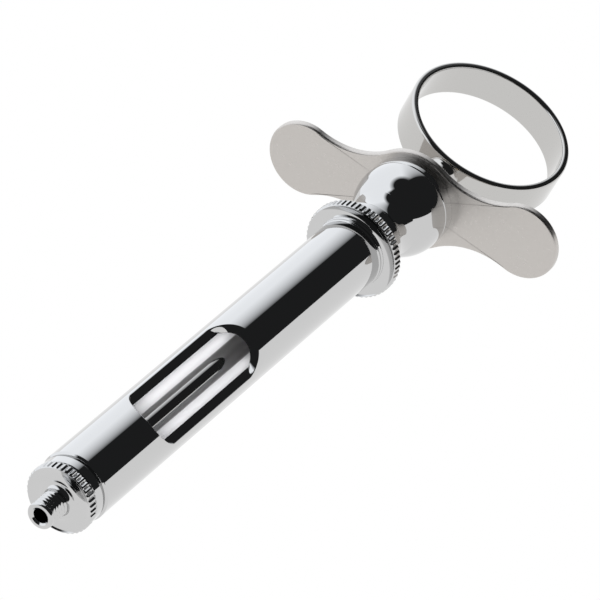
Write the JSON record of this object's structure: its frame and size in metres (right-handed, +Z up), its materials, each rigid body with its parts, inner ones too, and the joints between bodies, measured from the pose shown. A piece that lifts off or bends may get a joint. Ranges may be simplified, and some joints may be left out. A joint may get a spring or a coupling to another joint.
{
  "type": "dental aspirating syringe",
  "caption": "Metal cartridge syringe for dental injection: windowed barrel, threaded needle nipple, ball housing with sprung rod guide, winged finger grip and thumb ring on a sliding rod.",
  "frame": {"origin": "centre of the needle nipple's tip face, on the syringe's axis", "axes": "+Y runs back along the axis from the needle nipple to the thumb ring, X lies along the finger wings, +Z is up with the syringe lying down"},
  "size_m": [0.053, 0.1439, 0.0174],
  "materials": {
    "polished_chrome": "mirror-polished chromium plate",
    "polished_steel": "polished stainless steel",
    "satin_steel": "satin stainless steel",
    "spring_steel": "drawn spring wire",
    "bearing_brass": "turned brass"
  },
  "bodies": {
    "handle": {"coupling": "polished_chrome", "ball_housing": "polished_chrome", "grip_base": "polished_chrome", "finger_grip": "satin_steel", "grip_nut": "satin_steel", "bearing_spring": "spring_steel"},
    "barrel": {"barrel": "polished_chrome"},
    "adaptor": {"needle_adaptor": "polished_chrome"},
    "bearing": {"guide_bearing": "satin_steel"},
    "bush": {"rear_bush": "bearing_brass"},
    "piston": {"piston_rod": "polished_steel", "harpoon": "satin_steel", "ring_socket": "polished_steel", "thumb_ring": "polished_steel"}
  },
  "joints": [
    {"name": "barrel_screw", "type": "hinge", "parent": "handle", "child": "barrel", "pos_m": [0, 0.085, 0], "axis": [0, 1, 0], "range_deg": [-1440, 0]},
    {"name": "adaptor_screw", "type": "hinge", "parent": "barrel", "child": "adaptor", "pos_m": [0, 0.011, 0], "axis": [0, 1, 0], "range_deg": [-1440, 0]},
    {"name": "bearing_slide", "type": "slide", "parent": "handle", "child": "bearing", "axis": [0, 1, 0], "range_m": [0, 0.0035], "stiffness_N_per_m": 800, "springref_m": -0.002, "deforming": ["bearing_spring"]},
    {"name": "bush_turn", "type": "hinge", "parent": "handle", "child": "bush", "pos_m": [0, 0.105, 0], "axis": [0, 1, 0], "continuous": true},
    {"name": "piston_slide", "type": "slide", "parent": "bush", "child": "piston", "axis": [0, 1, 0], "range_m": [0, 0.06]}
  ]
}
